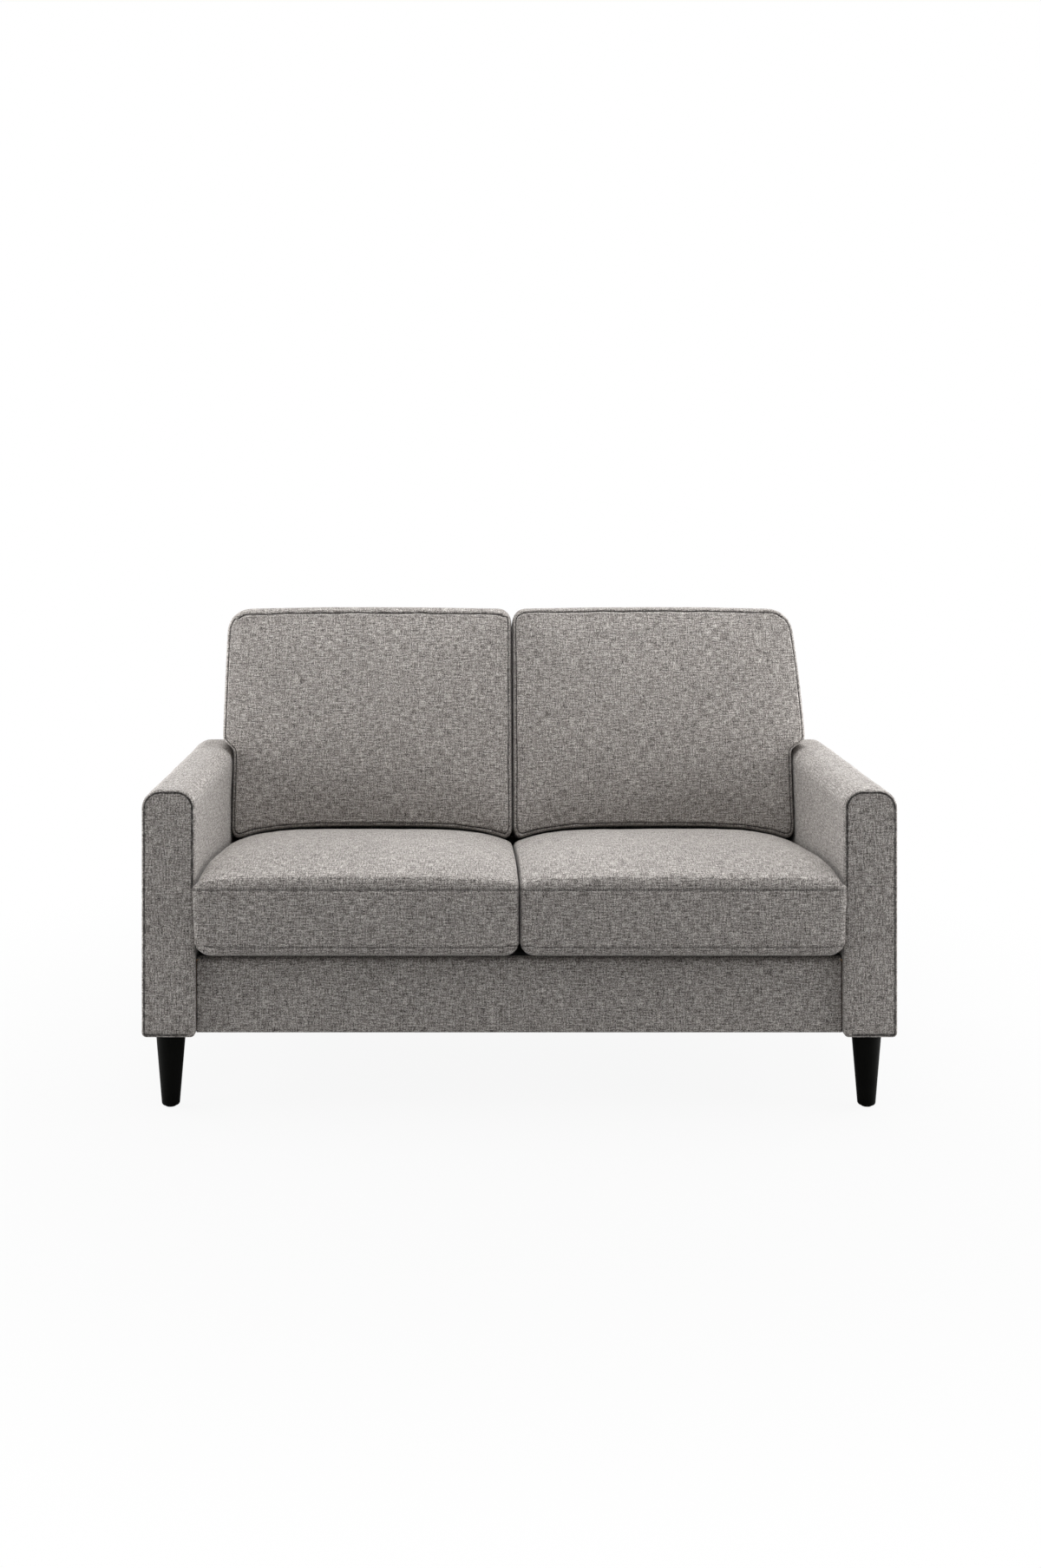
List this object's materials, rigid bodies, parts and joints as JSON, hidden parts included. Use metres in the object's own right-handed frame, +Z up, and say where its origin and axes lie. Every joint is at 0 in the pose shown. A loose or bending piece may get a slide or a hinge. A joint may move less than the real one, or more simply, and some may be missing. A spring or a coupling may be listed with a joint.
{
  "type": "loveseat",
  "caption": "Upholstered loveseat with slim track arms, loose boxed seat and back cushions, sinuous seat springs in a timber frame, and tapered screw-in legs.",
  "frame": {"origin": "on the floor under the middle of the footprint", "axes": "+X to the right of someone who looks at the front of the loveseat, +Y from its front to its back, +Z up; left and right in names are that onlooker's"},
  "size_m": [1.45, 0.7997, 0.9323],
  "materials": {
    "upholstery": "heathered grey-taupe plain weave, matte",
    "cushion_foam": "cut polyurethane foam, matte",
    "deck_cloth": "spunbond cloth, matte",
    "frame_timber": "planed softwood, bare",
    "leg_black": "satin black paint",
    "spring_steel": "drawn spring wire, oiled",
    "zinc_steel": "bright zinc plate"
  },
  "bodies": {
    "frame": {"seat_front_rail": "frame_timber", "seat_rear_rail": "frame_timber", "seat_centre_stretcher": "frame_timber", "front_rail_cover": "upholstery", "seat_deck_pad": "deck_cloth", "seat_dust_cover": "deck_cloth", "front_spring_clips": "zinc_steel", "rear_spring_clips": "zinc_steel", "back_cover": "upholstery", "back_top_rail": "frame_timber", "back_bottom_rail": "frame_timber", "back_centre_post": "frame_timber", "seat_spring_1": "spring_steel", "seat_spring_2": "spring_steel", "seat_spring_3": "spring_steel", "seat_spring_4": "spring_steel", "seat_spring_5": "spring_steel", "seat_spring_6": "spring_steel", "seat_spring_7": "spring_steel", "seat_spring_8": "spring_steel", "left_arm_cover": "upholstery", "left_arm_front_panel": "upholstery", "left_arm_bottom_rail": "frame_timber", "left_arm_front_post": "frame_timber", "left_arm_rear_post": "frame_timber", "left_arm_top_rail": "frame_timber", "left_arm_bolt_1": "zinc_steel", "left_arm_bolt_2": "zinc_steel", "left_front_leg": "leg_black", "left_rear_leg": "leg_black", "left_front_hanger_bolt": "zinc_steel", "left_rear_hanger_bolt": "zinc_steel", "left_front_tee_nut": "zinc_steel", "left_rear_tee_nut": "zinc_steel", "left_seat_side_rail": "frame_timber", "left_back_post": "frame_timber", "right_arm_cover": "upholstery", "right_arm_front_panel": "upholstery", "right_arm_bottom_rail": "frame_timber", "right_arm_front_post": "frame_timber", "right_arm_rear_post": "frame_timber", "right_arm_top_rail": "frame_timber", "right_arm_bolt_1": "zinc_steel", "right_arm_bolt_2": "zinc_steel", "right_front_leg": "leg_black", "right_rear_leg": "leg_black", "right_front_hanger_bolt": "zinc_steel", "right_rear_hanger_bolt": "zinc_steel", "right_front_tee_nut": "zinc_steel", "right_rear_tee_nut": "zinc_steel", "right_seat_side_rail": "frame_timber", "right_back_post": "frame_timber"},
    "left_seat_cushion": {"left_seat_cushion_cover": "upholstery", "left_seat_cushion_foam": "cushion_foam"},
    "left_back_cushion": {"left_back_cushion_cover": "upholstery", "left_back_cushion_foam": "cushion_foam"},
    "right_seat_cushion": {"right_seat_cushion_cover": "upholstery", "right_seat_cushion_foam": "cushion_foam"},
    "right_back_cushion": {"right_back_cushion_cover": "upholstery", "right_back_cushion_foam": "cushion_foam"}
  },
  "joints": [
    {"name": "left_seat_cushion_pull", "type": "slide", "parent": "frame", "child": "left_seat_cushion", "axis": [0, -1, 0], "range_m": [0, 0.6]},
    {"name": "left_back_cushion_lift", "type": "slide", "parent": "frame", "child": "left_back_cushion", "axis": [0, 0.2079, 0.9781], "range_m": [0, 0.45]},
    {"name": "right_seat_cushion_pull", "type": "slide", "parent": "frame", "child": "right_seat_cushion", "axis": [0, -1, 0], "range_m": [0, 0.6]},
    {"name": "right_back_cushion_lift", "type": "slide", "parent": "frame", "child": "right_back_cushion", "axis": [0, 0.2079, 0.9781], "range_m": [0, 0.45]}
  ]
}
